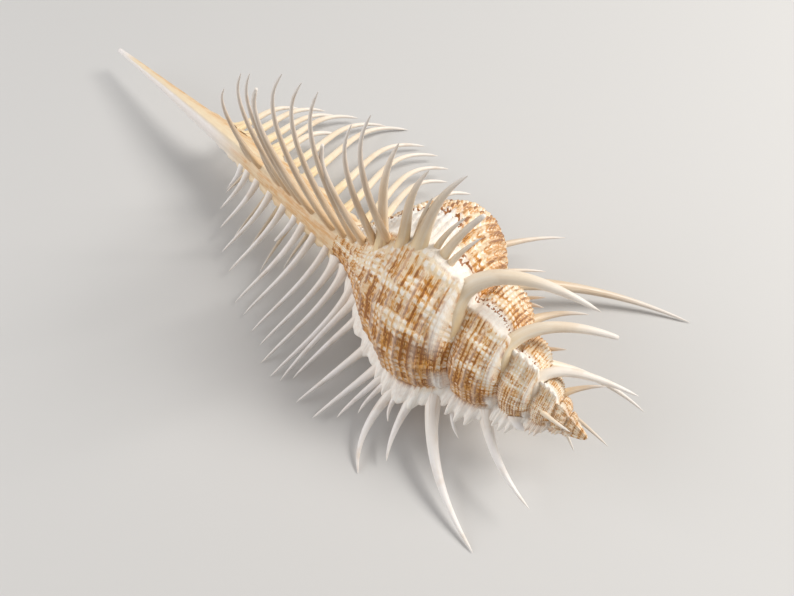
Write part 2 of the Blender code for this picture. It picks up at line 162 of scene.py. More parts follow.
def ridge(theta, row):
    """Height of the varices in mm: slow rise behind, steep fluted drop in front."""
    back = turned_back(theta)
    flute = np.zeros_like(back + row)
    for cord in MAIN_CORDS:
        flute = np.maximum(flute, hump(row, cord, 0.32))
    best = np.zeros_like(back + row)
    for varix, height in VARICES:
        front, crown = (15.0, 0.16) if varix == MIDDLE_VARIX else (11.0, 0.3)
        rise = varix_rise(back - varix, front, 1.5)
        best = np.maximum(best, height * rise * (1.0 - crown * rise + crown * 1.4 * rise * flute))
    # A fold that runs beside the suture into the long spine of the middle varix
    run = band(back, 98.0, 108.0, 118.0, 176.0) * smooth(theta, -1350.0, -1000.0)
    flank = np.where(row < 0.95, 0.28, 0.5)
    keel = run * (2.4 * hump(row, 0.95, flank) - 0.8 * hump(row, 0.35, 0.2))
    # A thin fluted frill on the crest of the left varix, drawn out to a spike at each main cord
    frill = hump(back, 223.5, 5.0) * band(row, 0.4, 1.0, 8.2, 9.2)
    wide = 1.0 - smooth(theta, -520.0, -420.0)
    lobe_at = row / 0.62 * (1.0 - wide) + (row - 1.8) / 1.05 * wide
    lobes = (0.5 + 0.5 * np.cos(2.0 * np.pi * lobe_at)) ** 0.7
    frill = frill * (1.0 + 0.25 * wide) * smooth(theta, -1700.0, -1100.0)
    # On the early turns the middle varix carries a frill too
    early = hump(back, 106.0, 6.0) * smooth(row, 0.6, 1.2)
    frill = frill + 0.8 * early * band(theta, -1700.0, -1100.0, -760.0, -700.0)
    collar = hump(row, 0.5, 0.28) * band(back, 185.0, 205.0, 224.0, 232.0)
    return best + keel + 0.6 * collar + frill * (1.5 + 0.6 * lobes + 0.5 * flute ** 2)


def ripple(theta, row, seed):
    """Slow waviness, the same on every run, made of a few sines."""
    wave = 0.0
    for k in range(1, 5):
        phase = theta * (0.031 * k + 0.017 * seed) + row * (1.7 * k - 0.6 * seed) + 2.1 * k * seed
        wave = wave + np.sin(phase) / k
    return wave / 2.1


# Cords lie this many mm apart; beads lie this many degrees apart and lag from cord to cord
CORD_GAP = 1.16
BEAD_TURN = 5.2
BEAD_LAG = 0.12
# Length of the wall from the upper suture to each row, in mm at lip size
wall_arc = np.array((0.0, 3.2, 6.95, 10.1, 13.3, 16.05, 18.45, 21.9, 25.3, 28.1, 30.1, 36.1))


def cord_count(row):
    """Number of cords between the upper suture and a row."""
    return np.interp(row, np.arange(12), wall_arc) / CORD_GAP


def relief(theta, row):
    """Height in mm of cords and beads over the wall at lip size."""
    back = turned_back(theta)
    count = cord_count(row) + 0.0 * theta
    cord = 1.0 - (0.5 - 0.5 * np.cos(2.0 * np.pi * count)) ** 2
    bulge = band(back, 12.0, 30.0, 70.0, 92.0)
    under = smooth(back, 250.0, 280.0)
    bead_at = theta / BEAD_TURN + BEAD_LAG * np.floor(count) + 0.25 * ripple(theta, row, 1)
    bead = 0.5 + 0.5 * np.cos(2.0 * np.pi * bead_at)
    main = np.zeros_like(theta + row)
    for at in MAIN_CORDS[:6]:
        main = np.maximum(main, hump(row, at, 0.22))
    low = 0.10 + 0.16 * bulge
    high = 0.14 + 0.42 * bulge
    height = cord * (low + high * bead) + 0.22 * main * (1.0 - 0.6 * bulge)
    # Low ribs along the growth lines
    rib = 0.5 + 0.5 * np.cos(2.0 * np.pi * (back - LEFT_VARIX) / 23.6)
    height = height + 0.28 * rib ** 2 * (1.0 - bulge)
    # The fold behind the shoulder spine is smooth
    fold = hump(row, 0.95, 0.4) * band(back, 97.0, 108.0, 150.0, 185.0)
    height = height * (1.0 - 0.75 * fold)
    face = np.zeros_like(back + row)
    for varix, _ in VARICES:
        face = np.maximum(face, band(back, varix - 17.0, varix - 11.0, varix, varix + 5.0))
    return height * (1.0 - 0.85 * face) * (1.0 - 0.5 * under)


def wall_point(theta, row, spire):
    """Points of the wall (columns, rows, 3) in the shell's own frame."""
    station, radius = wall_profile(theta, row)
    th = theta[:, None] + 0.0 * station
    rw = row[None, :] + 0.0 * station
    g = growth(th)
    if not spire:
        # Past the mouth the wall of the last turn starts a little later, on the pillar
        later = 14.0 * np.clip(1.0 - (th + 360.0) / 40.0, 0.0, 1.0) * smooth(rw, 5.0, 5.6)
        th = th + later
    ends = smooth(rw, 0.0, 0.5)
    if spire:
        ends = ends * (1.0 - smooth(rw, 4.5, 5.0))
    ds = np.gradient(station, axis=1)
    dr = np.gradient(radius, axis=1)
    run = np.sqrt(ds ** 2 + dr ** 2) + 1e-9
    fine = relief(th, rw) * g ** 0.75 * ends * (1.0 - 0.6 * smooth(rw, 8.5, 10.0))
    lift = ridge(th, rw) * np.sqrt(g)
    lift = lift * np.where(rw > 9.0, 1.0 - 0.5 * smooth(rw, 9.0, 10.0), 1.0)
    station = station + fine * dr / run
    radius = radius - fine * ds / run + lift
    if not spire:
        cave = np.clip(1.0 - (th + 360.0) / 70.0, 0.0, 1.0) * band(rw, 5.0, 5.8, 9.0, 10.0)
        radius = radius * (1.0 - 0.28 * cave)
    return around(station, radius, bearing(th, station))


def whorl(theta, row, spire):
    """Wall points whose upper edge is tied to the lower edge of the turn before."""
    point = wall_point(theta, row, spire)
    before = wall_point(theta - 360.0, np.array((4.9, 5.0)), True)[:, 1]
    gap = before - point[:, 0]
    tie = np.clip(1.0 - row / 0.8, 0.0, 1.0) ** 2
    return point + gap[:, None, :] * tie[None, :, None]


def lay_grid(name, point):
    """A grid primitive with its points laid on the given (columns, rows, 3) places, in metres."""
    cols, rows = point.shape[:2]
    bpy.ops.object.select_all(action="DESELECT")
    bpy.ops.mesh.primitive_grid_add(x_subdivisions=cols - 1, y_subdivisions=rows - 1, size=1.0)
    piece = bpy.context.object
    piece.name = name
    piece.data.name = name
    mesh = piece.data
    flat = np.empty(len(mesh.vertices) * 3)
    mesh.vertices.foreach_get("co", flat)
    flat = flat.reshape(-1, 3)
    i = np.rint((flat[:, 0] + 0.5) * (cols - 1)).astype(int)
    j = np.rint((flat[:, 1] + 0.5) * (rows - 1)).astype(int)
    mesh.vertices.foreach_set("co", point[i, j].ravel())
    mesh.update()
    return piece, i, j


def set_uv(piece, i, j, u, v):
    """Own UV map from values given on the grid."""
    mesh = piece.data
    corner = np.empty(len(mesh.loops), dtype=np.int32)
    mesh.loops.foreach_get("vertex_index", corner)
    uv = np.stack((u[i, j][corner], v[i, j][corner]), axis=-1)
    mesh.uv_layers[0].data.foreach_set("uv", uv.astype(np.float32).ravel())


def set_tone(piece, tone, i, j):
    """Colour attribute: on the wall red is tan, green is white enamel and blue is dark spots."""
    layer = piece.data.attributes.new("tone", "FLOAT_COLOR", "POINT")
    value = np.ones((len(i), 4), dtype=np.float32)
    value[:, :tone.shape[-1]] = tone[i, j]
    layer.data.foreach_set("color", value.ravel())


def edit_all(change, **settings):
    """Makes one change to the whole mesh of the active piece."""
    bpy.ops.object.mode_set(mode="EDIT")
    bpy.ops.mesh.select_all(action="SELECT")
    change(**settings)
    bpy.ops.object.mode_set(mode="OBJECT")


def face_out(piece, centre):
    """Merges seam and pole points and turns the faces outwards from an inner point."""
    edit_all(bpy.ops.mesh.remove_doubles, threshold=0.000004)
    mesh = piece.data
    normal = np.empty(len(mesh.polygons) * 3)
    middle = np.empty(len(mesh.polygons) * 3)
    mesh.polygons.foreach_get("normal", normal)
    mesh.polygons.foreach_get("center", middle)
    out = (normal.reshape(-1, 3) * (middle.reshape(-1, 3) - centre)).sum()
    if out < 0.0:
        edit_all(bpy.ops.mesh.flip_normals)
    bpy.ops.object.shade_smooth()


def lay_piece(name, point, u, v, tone, inside):
    """A piece from points, UV and tones on a grid; it faces away from a place inside the shell."""
    piece, i, j = lay_grid(name, lay_down(point))
    set_uv(piece, i, j, u + 0.0 * v, v + 0.0 * u)
    set_tone(piece, tone, i, j)
    face_out(piece, lay_down(np.array(inside)))
    return piece


def wall_uv(theta, row):
    """One unit of U for each bead along a cord, one unit of V for each cord."""
    count = cord_count(row)[None, :]
    return theta[:, None] / BEAD_TURN + BEAD_LAG * np.floor(count), count


def tone_of_wall(theta, row):
    """How tan, white or spotted the wall is, by its place in the growth of each turn; the tan also holds
    painted shade in the hollow beside the fold.
    """
    th = theta[:, None] + 0.0 * row[None, :]
    rw = row[None, :] + 0.0 * th
    back = turned_back(th)
    wave = ripple(th, rw, 2)
    tan = 0.66 + 0.12 * wave
    tan = tan + 0.56 * band(back, 140.0, 190.0, 213.0, 219.0)
    # Painted shade: extra tan in the hollow between the fold and the suture, under the shoulder spine
    hollow_shade = hump(rw, 0.4, 0.25)
    tan = tan + 0.30 * hollow_shade * band(back, 104.0, 112.0, 125.0, 140.0)
    tan = tan - 0.30 * band(back, 100.0, 108.0, 112.0, 140.0)
    tan = tan - 0.16 * band(back, 20.0, 35.0, 70.0, 88.0)
    tan = tan - 0.28 * smooth(rw, 5.5, 8.0) * (1.0 - smooth(back, 150.0, 190.0))
    tan = tan - 0.30 * (1.0 - smooth(rw, 0.5, 1.2)) * smooth(back, 114.0, 130.0)
    tan = tan - 0.3 * smooth(back, 240.0, 300.0)
    tan = tan * (1.0 - 0.42 * (1.0 - smooth(th, -860.0, -640.0)))
    white = np.zeros_like(th)
    spot = np.zeros_like(th)
    for varix, _ in VARICES:
        reach = 9.0
        dots = 0.5
        if varix == MIDDLE_VARIX:
            reach = 17.0 + 16.0 * smooth(rw, 2.4, 3.4) * smooth(th, -250.0, -240.0)
            dots = 1.0
        white = np.maximum(white, band(back, varix - reach - 3.0, varix - reach + 2.0,
                                       varix - 1.0, varix + 4.0))
        foot_of_face = back - varix + (13.0 if varix == LEFT_VARIX else reach - 2.0)
        spot = np.maximum(spot, dots * np.exp(-(foot_of_face / 3.4) ** 2))
    frilled = band(back, 214.0, 219.0, 227.0, 236.0)
    white = np.maximum(white, frilled)
    for cord in MAIN_CORDS:
        white = np.maximum(white, 0.3 * hump(rw, cord, 0.15) * smooth(back, 100.0, 115.0))
    keel = hump(rw, 0.95, 0.3) * band(back, 108.0, 122.0, 150.0, 174.0)
    crescent = band(back, 176.0, 200.0, 222.0, 232.0) * (1.0 - smooth(rw, 0.7, 1.3))
    beaded = band(back, 14.0, 30.0, 66.0, 84.0)
    white = np.maximum(white, np.maximum(crescent, np.maximum(0.8 * keel, 0.12 * beaded)))
    return np.clip(np.stack((tan, white, spot), axis=-1), 0.0, 1.0)


def feed(tree, node, inputs):
    """Sets the inputs of a node, or links them where the value is a socket."""
    for key, value in inputs.items():
        if isinstance(value, bpy.types.NodeSocket):
            tree.links.new(value, node.inputs[key])
        else:
            node.inputs[key].default_value = value


def nodes_of(name):
    """A new material, a helper that adds nodes to it, and one that feeds its surface shader."""
    material = bpy.data.materials.new(name)
    material.use_nodes = True
    tree = material.node_tree

    def add(kind, inputs=None, **settings):
        node = tree.nodes.new(kind)
        for key, value in settings.items():
            setattr(node, key, value)
        feed(tree, node, inputs or {})
        return node

    def surface(inputs):
        feed(tree, tree.nodes["Principled BSDF"], inputs)

    return material, add, surface


def math_node(add, kind, a, b=0.5, c=0.5, clamp=False):
    return add("ShaderNodeMath", {0: a, 1: b, 2: c}, operation=kind, use_clamp=clamp).outputs[0]


def times_node(add, a, b, clamp=False):
    return math_node(add, "MULTIPLY", a, b, clamp=clamp)


def map_node(add, value, low, high, to_low=0.0, to_high=1.0):
    return add("ShaderNodeMapRange", {0: value, 1: low, 2: high, 3: to_low, 4: to_high},
               interpolation_type="SMOOTHSTEP").outputs[0]


def mix_node(add, factor, a, b):
    return add("ShaderNodeMix", {0: factor, 6: a, 7: b}, data_type="RGBA").outputs[2]


def noise_node(add, vector, scale, detail, roughness=0.5):
    inputs = {"Vector": vector, "Scale": scale, "Detail": detail, "Roughness": roughness}
    return add("ShaderNodeTexNoise", inputs).outputs[0]


def stretch_node(add, vector, scale):
    return add("ShaderNodeMapping", {0: vector, 3: scale}).outputs[0]


def places_and_tone(add):
    """The UV map, the place in the piece's own space, and the three parts of the tone attribute."""
    uv = add("ShaderNodeUVMap", uv_map="UVMap").outputs[0]
    body = add("ShaderNodeTexCoord").outputs["Object"]
    attribute = add("ShaderNodeAttribute", attribute_name="tone")
    return uv, body, add("ShaderNodeSeparateColor", {0: attribute.outputs[0]}).outputs


def stripe_node(add, value):
    """How far a value is from the middle between two whole numbers."""
    return math_node(add, "ABSOLUTE", math_node(add, "SUBTRACT", math_node(add, "FRACT", value), 0.5))


def bump_node(add, height, strength, distance):
    inputs = {"Height": height, "Strength": strength, "Distance": distance}
    return add("ShaderNodeBump", inputs).outputs[0]


CREAM = (0.87, 0.71, 0.49, 1.0)
WHITE = (0.96, 0.92, 0.86, 1.0)
TAN = (0.62, 0.28, 0.050, 1.0)
DARK_TAN = (0.31, 0.11, 0.018, 1.0)


def wall_lime():
    material, add, surface = nodes_of("wall_lime")
    uv, body, tone = places_and_tone(add)
    place = add("ShaderNodeSeparateXYZ", {0: uv})
    # Patchiness that follows the cords, and clouds that follow the growth lines across them
    stretch = stretch_node(add, uv, (0.25, 1.0, 1.0))
    patch = noise_node(add, stretch, 1.1, 4.0, 0.65)
    short = stretch_node(add, uv, (0.75, 0.24, 1.0))
    cloud = noise_node(add, short, 0.62, 3.0, 0.6)
    fleck = noise_node(add, uv, 2.3, 4.0, 0.7)
    # Lines between the cords, and finer twin lines on them
    wobble = times_node(add, math_node(add, "SUBTRACT", fleck, 0.5), 0.35)
    line_at = math_node(add, "ADD", place.outputs[1], wobble)
    half = stripe_node(add, line_at)
    groove = map_node(add, half, 0.22, 0.40)
    fine_at = times_node(add, line_at, 3.0)
    fine = map_node(add, stripe_node(add, fine_at), 0.22, 0.42)
    # Beads along the cords
    bead_at = math_node(add, "ADD", place.outputs[0], times_node(add, patch, 0.8))
    bead_half = stripe_node(add, bead_at)
    between = map_node(add, bead_half, 0.18, 0.42)
    lattice = math_node(add, "MAXIMUM", groove, times_node(add, between, 0.5))
    lattice = math_node(add, "MAXIMUM", lattice, times_node(add, fine, 0.6))
    stain = map_node(add, patch, 0.36, 0.60, 0.15, 1.5)
    stain = times_node(add, stain, map_node(add, cloud, 0.40, 0.56, 0.25, 1.45))
    stain = times_node(add, stain, map_node(add, fleck, 0.30, 0.60, 0.5, 1.25))
    amount = times_node(add, times_node(add, stain, tone[0]), lattice, clamp=True)
    wash = times_node(add, times_node(add, tone[0], tone[0]),
                     map_node(add, cloud, 0.38, 0.60, 0.32, 1.0))
    wash = times_node(add, wash, map_node(add, fleck, 0.36, 0.58, 0.35, 1.0))
    # Next to the left varix the tan covers nearly everything but the beads
    rich = times_node(add, map_node(add, tone[0], 0.88, 1.0, 0.0, 0.88),
                     map_node(add, fleck, 0.34, 0.56, 0.55, 1.0))
    wash = math_node(add, "MAXIMUM", wash, rich)
    colour = mix_node(add, wash, CREAM, TAN)
    colour = mix_node(add, map_node(add, amount, 0.05, 0.38), colour, TAN)
    colour = mix_node(add, map_node(add, amount, 0.40, 0.85), colour, DARK_TAN)
    # White beads where the clouds are thin
    beads = times_node(add, map_node(add, math_node(add, "MAXIMUM", half, bead_half), 0.34, 0.20),
                      map_node(add, cloud, 0.56, 0.42, 0.0, 0.85))
    beads = times_node(add, beads, map_node(add, tone[0], 0.6, 1.0, 1.0, 0.6))
    colour = mix_node(add, beads, colour, WHITE)
    veil = times_node(add, tone[1], map_node(add, fleck, 0.30, 0.62, 1.0, 0.82))
    colour = mix_node(add, veil, colour, WHITE)
    blot = noise_node(add, uv, 1.5, 1.0, 0.5)
    spot = times_node(add, tone[2], map_node(add, blot, 0.54, 0.60))
    colour = mix_node(add, map_node(add, spot, 0.2, 0.6), colour, DARK_TAN)
    # Growth lines and fine threads as a shallow bump
    grain = noise_node(add, body, 2600.0, 3.0, 0.6)
    height = math_node(add, "MULTIPLY_ADD", fine, -0.5, times_node(add, grain, 0.9))
    across = stretch_node(add, uv, (6.0, 0.4, 1.0))
    lines = noise_node(add, across, 1.0, 2.0)
    height = math_node(add, "ADD", height, times_node(add, lines, 0.8))
    surface({"Base Color": colour, "Normal": bump_node(add, height, 0.35, 0.00025),
             "Roughness": map_node(add, tone[1], 0.3, 1.0, 0.46, 0.28), "Specular IOR Level": 0.4})
    return material


wall_material = wall_lime()


def finish(piece, material):
    """Every visible piece is lime, rides with the shell and stands in for its solid."""
    piece.data.materials.append(material)
    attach(piece, "root")
    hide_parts("shell")


SPIRE_START = -2160.0
spire_theta = np.linspace(SPIRE_START, -360.0, 5 * 220 + 1)
spire_row = np.linspace(0.0, 5.0, 43)
spire_points = whorl(spire_theta, spire_row, True)
spire_tone = tone_of_wall(spire_theta, spire_row)
top = smooth(spire_theta, -1450.0, -1150.0)[:, None]
spire_tone[..., 0] = spire_tone[..., 0] * top + 0.47 * (1.0 - top)
spire_tone[..., 1] = spire_tone[..., 1] * (0.35 + 0.65 * top)
spire_tone[..., 2] = spire_tone[..., 2] * smooth(spire_theta, -1000.0, -700.0)[:, None]
spire_u, spire_v = wall_uv(spire_theta, spire_row)
spire = lay_piece("spire", spire_points, spire_u, spire_v, spire_tone, (110.0, 0.0, 0.0))
finish(spire, wall_material)

# The rounded first turns at the very top
cap_loop = spire_theta < SPIRE_START + 360.0 + 0.01
cap_theta = spire_theta[cap_loop]
cap_edge = spire_points[cap_loop, 0]
cap_share = np.linspace(0.0, 1.0, 9)
apex_point = np.array((SHELL_LENGTH, 0.0, 0.0))
dome = cap_edge[:, None, :] * (1.0 - cap_share)[None, :, None] + apex_point * cap_share[None, :, None]
cap_rise = np.sin(cap_share * math.pi / 2.0)
dome[..., 0] = cap_edge[:, None, 0] + (SHELL_LENGTH - cap_edge[:, None, 0]) * cap_rise
cap_tone = np.zeros(dome.shape)
cap_tone[..., 0] = 0.55
cap_u, cap_v = cap_theta[:, None] / BEAD_TURN, cap_share[None, :] * 3.0
apex_cap = lay_piece("apex_cap", dome, cap_u, cap_v, cap_tone, (120.0, 0.0, 0.0))
finish(apex_cap, wall_material)

# ---------------------------------------------------------------- body whorl
# The last and widest turn, which held the animal, with the base that narrows into the canal.
# Same lime wall as the spire; the cords are widest here and the bulge behind the lip is beaded.

body_theta = np.linspace(-360.0, 0.0, 331)
body_row = np.concatenate((np.linspace(0.0, 5.0, 88)[:-1], np.linspace(5.0, 10.0, 70)))
body_u, body_v = wall_uv(body_theta, body_row)
body_whorl = lay_piece("body_whorl", whorl(body_theta, body_row, False), body_u, body_v,
                       tone_of_wall(body_theta, body_row), (92.0, 0.0, 0.0))
finish(body_whorl, wall_material)

# ---------------------------------------------------------------- canal
# The long narrow tube that carried the siphon, open along a slit on the side of the mouth.
# White towards its tip and on the lower face, tan along the edge between the combs.

CANAL_SHAPE = ((-6.0, 0.2), (0.0, 0.5), (9.0, 0.78), (20.0, 1.08), (34.0, 1.68), (50.0, 2.3), (65.0, 2.8),
               (78.0, 3.2), (84.0, 3.3))
canal_station = 78.4 * (1.0 - np.linspace(1.0, 0.0, 210) ** 1.25)
canal_turn = np.linspace(0.0, -344.0, 73)


def canal_wide(station):
    at = [row[0] for row in CANAL_SHAPE]
    wide = [row[1] for row in CANAL_SHAPE]
    lower = np.interp(station - 3.0, at, wide)
    upper = np.interp(station + 3.0, at, wide)
    return (lower + upper + 2.0 * np.interp(station, at, wide)) / 4.0


def canal_wall(theta, station):
    """Outer wall of the canal with its three low ridges; arrays of one shape."""
    back = turned_back(theta)
    ramp = 0.35 * smooth(station, 16.0, 34.0) + 0.65 * smooth(station, 40.0, 54.0)
    lift = np.zeros_like(theta + station)
    for varix, height in VARICES:
        rise = varix_rise(back - varix, 14.0, 2)
        knots = 0.8 + 0.2 * np.sin(station * 1.65 + varix) + 0.08 * np.sin(station * 4.1 + 2.0 * varix)
        lift = np.maximum(lift, 0.55 * height * rise * ramp * knots)
    # The lip spreads as a wavy flange over the slit, where the right comb stands
    edge = hump(back, 0.0, 17.0) + hump(back, 360.0, 17.0)
    flange = smooth(station, 30.0, 42.0) * edge * (1.5 + 0.3 * np.sin(station * 1.45))
    lift = lift + flange * (1.0 - 0.5 * smooth(station, 70.0, 78.0))
    threads = 0.05 * ramp * (0.5 + 0.5 * np.cos(2.0 * np.pi * back / 13.0))
    wear = 0.035 * ripple(back * 3.0, station * 0.8, 3) * ramp
    radius = canal_wide(station) + lift + threads + wear
    return around(station, radius, bearing(theta, station))


th, st = np.meshgrid(canal_turn, canal_station, indexing="ij")
outer = canal_wall(th, st)
wide = canal_wide(canal_station)
# The slit from edge to edge: share of the canal's radius, and bearing in degrees
SLIT = ((0.985, -31.0), (0.90, -29.5), (0.55, -28.0), (0.45, -24.5), (0.52, -20.5), (0.92, -18.6),
        (1.02, -17.4))
slit = []
for share, degrees in SLIT:
    slit.append(around(canal_station, wide * share, np.radians(degrees) + 0.0 * canal_station))
loop = np.concatenate((outer, np.array(slit), outer[:1]), axis=0)
# The tip closes in a small rounded end
tip_point = around(np.array(0.0), np.array(0.0), np.array(0.0))
tip_rows = []
for k in range(4):
    share = math.sin(k / 4.0 * math.pi / 2.0)
    shrink = math.cos((1.0 - k / 4.0) * math.pi / 2.0)
    ring = loop[:, 0] * shrink + tip_point * (1.0 - shrink)
    ring[:, 0] = -0.35 * (1.0 - share)
    tip_rows.append(ring)
canal_points = np.concatenate((np.stack(tip_rows, axis=1), loop), axis=1)
canal_points[..., 0] = np.maximum(canal_points[..., 0], 0.02 * np.arange(canal_points.shape[1])[None, :])
canal_back = np.concatenate((-canal_turn, np.full(len(slit), 352.0), (0.0,)))
rows_station = np.concatenate((np.zeros(4), canal_station))
back = canal_back[:, None] + 0.0 * rows_station[None, :]
along = rows_station[None, :] + 0.0 * canal_back[:, None]
canal_tan = 0.14 + 0.72 * band(back, 6.0, 22.0, 56.0, 92.0)
canal_tan = canal_tan * (0.5 + 0.5 * smooth(along, 6.0, 18.0))
seam = smooth(along, 42.0, 54.0) * band(back, 116.0, 140.0, 200.0, 228.0)
canal_tan = canal_tan + 0.62 * seam + 0.18 * smooth(along, 50.0, 70.0)
canal_white = 1.0 - smooth(along, 1.5, 9.0)
canal_white = np.maximum(canal_white, 0.9 * band(back, 104.0, 132.0, 230.0, 300.0)
                         * (1.0 - smooth(along, 38.0, 54.0)))
canal_white = np.maximum(canal_white, 0.5 * smooth(back, 225.0, 260.0))
canal_tone = np.clip(np.stack((canal_tan, canal_white, 0.0 * back), axis=-1), 0.0, 1.0)
canal = lay_piece("canal", canal_points, back / 40.0, along / 5.0, canal_tone, (40.0, 0.0, 0.8))


def canal_lime():
    material, add, surface = nodes_of("canal_lime")
    uv, body, tone = places_and_tone(add)
    stretch = stretch_node(add, uv, (2.4, 0.6, 1.0))
    streak = noise_node(add, stretch, 2.0, 4.0, 0.6)
    patch = noise_node(add, body, 420.0, 4.0, 0.6)
    grain = noise_node(add, body, 2400.0, 3.0, 0.6)
    amount = times_node(add, tone[0], map_node(add, streak, 0.3, 0.66, 0.35, 1.25), clamp=True)
    amount = times_node(add, amount, map_node(add, patch, 0.34, 0.62, 0.55, 1.15), clamp=True)
    colour = mix_node(add, amount, (0.86, 0.72, 0.51, 1.0), (0.72, 0.42, 0.18, 1.0))
    colour = mix_node(add, times_node(add, tone[1], 0.9), colour, (0.90, 0.85, 0.84, 1.0))
    across = stretch_node(add, uv, (0.5, 14.0, 1.0))
    lines = noise_node(add, across, 1.0, 2.0)
    height = math_node(add, "MULTIPLY_ADD", lines, 0.8, grain)
    surface({"Base Color": colour, "Normal": bump_node(add, height, 0.3, 0.0002),
             "Roughness": map_node(add, tone[1], 0.2, 1.0, 0.42, 0.27), "Specular IOR Level": 0.4})
    return material


finish(canal, canal_lime())

# ---------------------------------------------------------------- mouth
# The opening under the lip, and the pillar across from it. A thin glossy glaze of porcelain white
# with a flesh-pink tint lines the hollow, laid by the animal over the rougher wall.

mouth_share = np.linspace(0.0, 1.0, 120)
lip_row = 10.0 * mouth_share
pillar_row = 5.0 + 5.0 * mouth_share
lip_edge = whorl(np.array((-1.0, 0.0)), lip_row, False)[1]
pillar_edge = wall_point(np.array((-360.0, -359.0)), pillar_row, False)[0]
root = wall_point(np.array((-361.0, -360.0)), np.array((4.9, 5.0)), True)[1, 1]
lip_station, lip_radius = wall_profile(np.array((0.0,)), lip_row)
lip_station, lip_radius = lip_station[0], lip_radius[0]
narrow = smooth(lip_row, 8.2, 9.9)


def across_mouth(share, add_mm, angle, slit_share, slit_degrees):
    """One curve along the mouth; it narrows into the canal's slit at its lower end."""
    radius = (lip_radius * share + add_mm) * (1.0 - narrow) + lip_radius * slit_share * narrow
    turn = (math.radians(LIP_BEARING) + angle) * (1.0 - narrow) + math.radians(slit_degrees) * narrow
    line = around(lip_station, radius, turn)
    tie = (np.clip(1.0 - mouth_share / 0.1, 0.0, 1.0) ** 2)[:, None]
    return line * (1.0 - tie) + root * tie


curves = [lip_edge, across_mouth(1.0, -0.35, -0.02, 1.02, -17.4), across_mouth(0.93, -0.3, 0.22, 0.92, -18.6),
          across_mouth(0.84, 0.0, 0.62, 0.52, -20.5), across_mouth(0.62, 0.0, 0.95, 0.47, -22.5),
          across_mouth(0.38, 0.5, 0.55, 0.45, -25.5), across_mouth(0.42, 0.5, 0.1, 0.55, -28.0), pillar_edge]
curves = np.array(curves)
steps = np.linspace(0.0, len(curves) - 1.0, 57)
k = np.clip(np.floor(steps).astype(int), 0, len(curves) - 2)
before, after = np.maximum(k - 1, 0), np.minimum(k + 2, len(curves) - 1)
mouth_points = spline(curves[before], curves[k], curves[k + 1], curves[after], (steps - k)[:, None, None])
mouth_u = steps[:, None] + 0.0 * mouth_share
deep = hump(mouth_u, 3.6, 1.6)
mouth_tone = np.stack((deep, 1.0 - smooth(mouth_u, 0.0, 0.6), 0.0 * deep), axis=-1)
mouth = lay_piece("mouth", mouth_points, mouth_u, lip_row[None, :], mouth_tone, (92.0, 9.0, -6.0))
# It is seen from inside the hollow
edit_all(bpy.ops.mesh.flip_normals)


def mouth_glaze():
    material, add, surface = nodes_of("mouth_glaze")
    _, body, tone = places_and_tone(add)
    cloud = noise_node(add, body, 260.0, 3.0)
    cloudy = map_node(add, cloud, 0.35, 0.65, 0.0, 0.5)
    colour = mix_node(add, cloudy, (0.93, 0.86, 0.80, 1.0), (0.90, 0.76, 0.64, 1.0))
    colour = mix_node(add, times_node(add, tone[0], 0.6), colour, (0.84, 0.60, 0.45, 1.0))
    surface({"Base Color": colour, "Normal": bump_node(add, cloud, 0.15, 0.0003), "Roughness": 0.18,
             "Coat Weight": 0.4, "Coat Roughness": 0.08})
    return material


finish(mouth, mouth_glaze())

# ---------------------------------------------------------------- combs
# Three combs of long spines, one on each varix, which the animal built along the edge of the lip
# at each pause. Solid lime, curved like ribs, cream to beige with whiter tips.

# Comb: plane, lean and its rise, curl and its rise, swing and its rise in degrees, depth of the root
COMB_LEFT = (208.0, 6.0, 0.0, 16.0, 0.0, 1.0, 1.0, 0.8)
COMB_UP = (119.0, 1.0, 17.0, 67.0, -24.0, 8.5, 16.0, 0.8)
COMB_RIGHT = (-15.5, 16.0, 6.5, 50.0, -22.0, -1.5, 3.0, 2.1)
# Spines: station on the axis and length
SPINES_LEFT = ((50.5, 4.5), (52.5, 8.0), (55.5, 10.5), (59.5, 13.5), (63.5, 15.0), (66.8, 5.7),
               (69.0, 18.0), (72.0, 18.5), (75.5, 19.5), (78.5, 20.0), (81.0, 22.0), (84.0, 22.3))
# The spines of the middle comb also have the station of the foot on the varix
SPINES_UP = ((55.0, 9.0, 53.5), (59.5, 23.0, 56.0), (64.5, 15.0, 62.0), (69.7, 31.5, 65.0),
             (72.7, 33.0, 68.0), (72.4, 30.3, 71.0), (82.6, 38.0, 76.0), (86.6, 38.8, 78.8),
             (89.8, 39.3, 81.5), (85.3, 28.4, 84.2), (94.4, 37.4, 86.6), (98.9, 41.3, 89.0))
SPINES_RIGHT = ((41.5, 17.5), (45.0, 21.7), (48.5, 22.8), (53.2, 17.5), (51.5, 26.3), (57.5, 29.5),
                (61.6, 32.8), (68.2, 31.2), (72.4, 31.0), (76.8, 29.3), (79.3, 25.5), (84.9, 26.6),
                (88.4, 25.0))
# The spines that end in a broken stump
BROKEN = ((66.8, 5.7), (72.4, 30.3), (85.3, 28.4), (53.2, 17.5))
# Radii in mm of a sharp tip and of a broken one, and the height at which a tip rests on the table
SHARP = 0.12
SNAPPED = 0.24
TIP_REST = 0.15


def wall_at(station, degrees):
    """Outer radius of the shell at a station and a bearing."""
    best = float(canal_wide(min(station, CANAL_JOIN)))
    first = (LIP_BEARING - degrees) % 360.0 - 360.0
    for lap in range(6):
        theta = first - 360.0 * lap
        rows = np.linspace(0.0, 10.0 if lap == 0 else 5.0, 60)
        s, r = wall_profile(np.array((theta,)), rows)
        r = r + ridge(np.full_like(s, theta), rows[None, :] * 0.0 + 0.4) * math.sqrt(growth(theta))
        if s.min() <= station <= s.max():
            best = max(best, float(np.interp(-station, -s[0], r[0])))
    return best


PATH_STEPS = 24


